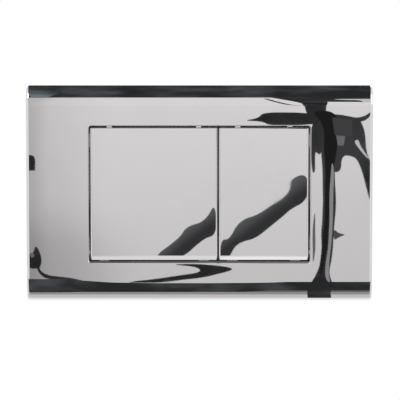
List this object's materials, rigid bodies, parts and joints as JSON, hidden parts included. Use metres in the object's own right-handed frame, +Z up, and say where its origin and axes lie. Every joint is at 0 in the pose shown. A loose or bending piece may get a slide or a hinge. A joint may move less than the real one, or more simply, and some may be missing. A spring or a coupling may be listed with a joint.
{
  "type": "flush button plate",
  "caption": "Chrome wall plate with rolled edges and hinged full and half flush buttons that push sprung rods into a concealed cistern.",
  "frame": {"origin": "centre of the plate on the wall face, where the back of the rim meets the wall", "axes": "+X to the user's right, +Y into the wall, +Z up; the buttons face -Y"},
  "size_m": [0.26, 0.1165, 0.163],
  "materials": {
    "chrome_plating": "bright chrome plating on moulded plastic",
    "frame_plastic": "moulded grey plastic",
    "plunger_plastic": "natural white moulded plastic",
    "plated_steel": "zinc plated steel",
    "spring_steel": "drawn stainless spring wire",
    "buffer_rubber": "moulded black rubber"
  },
  "bodies": {
    "plate": {"cover_plate": "chrome_plating", "mounting_frame": "frame_plastic", "fixing_bolt_left": "plated_steel", "fixing_bolt_right": "plated_steel", "full_flush_hinge_pin_left": "plated_steel", "full_flush_stop_buffer_left": "buffer_rubber", "full_flush_hinge_pin_right": "plated_steel", "full_flush_stop_buffer_right": "buffer_rubber", "full_flush_return_spring": "spring_steel", "half_flush_hinge_pin_left": "plated_steel", "half_flush_stop_buffer_left": "buffer_rubber", "half_flush_hinge_pin_right": "plated_steel", "half_flush_stop_buffer_right": "buffer_rubber", "half_flush_return_spring": "spring_steel"},
    "full_flush_button": {"full_flush_button": "chrome_plating"},
    "full_flush_plunger": {"full_flush_plunger": "plunger_plastic", "full_flush_push_rod": "plated_steel", "full_flush_lock_nut": "plated_steel", "full_flush_push_tip": "plunger_plastic"},
    "half_flush_button": {"half_flush_button": "chrome_plating"},
    "half_flush_plunger": {"half_flush_plunger": "plunger_plastic", "half_flush_push_rod": "plated_steel", "half_flush_lock_nut": "plated_steel", "half_flush_push_tip": "plunger_plastic"}
  },
  "joints": [
    {"name": "full_flush_press", "type": "hinge", "parent": "plate", "child": "full_flush_button", "pos_m": [0, -0.0035, 0.0445], "axis": [1, 0, 0], "range_deg": [0, 4], "stiffness_Nm_per_rad": 3.4, "springref_deg": -4.01},
    {"name": "full_flush_plunger_slide", "type": "slide", "parent": "plate", "child": "full_flush_plunger", "axis": [0, 1, 0], "range_m": [0, 0.0048], "deforming": ["full_flush_return_spring"]},
    {"name": "half_flush_press", "type": "hinge", "parent": "plate", "child": "half_flush_button", "pos_m": [0, -0.0035, 0.0445], "axis": [1, 0, 0], "range_deg": [0, 4], "stiffness_Nm_per_rad": 3.4, "springref_deg": -4.01},
    {"name": "half_flush_plunger_slide", "type": "slide", "parent": "plate", "child": "half_flush_plunger", "axis": [0, 1, 0], "range_m": [0, 0.0048], "deforming": ["half_flush_return_spring"]}
  ],
  "couplings": [
    {"joint": "full_flush_plunger_slide", "follows": "full_flush_press", "m_per_rad": 0.0675},
    {"joint": "half_flush_plunger_slide", "follows": "half_flush_press", "m_per_rad": 0.0675}
  ]
}
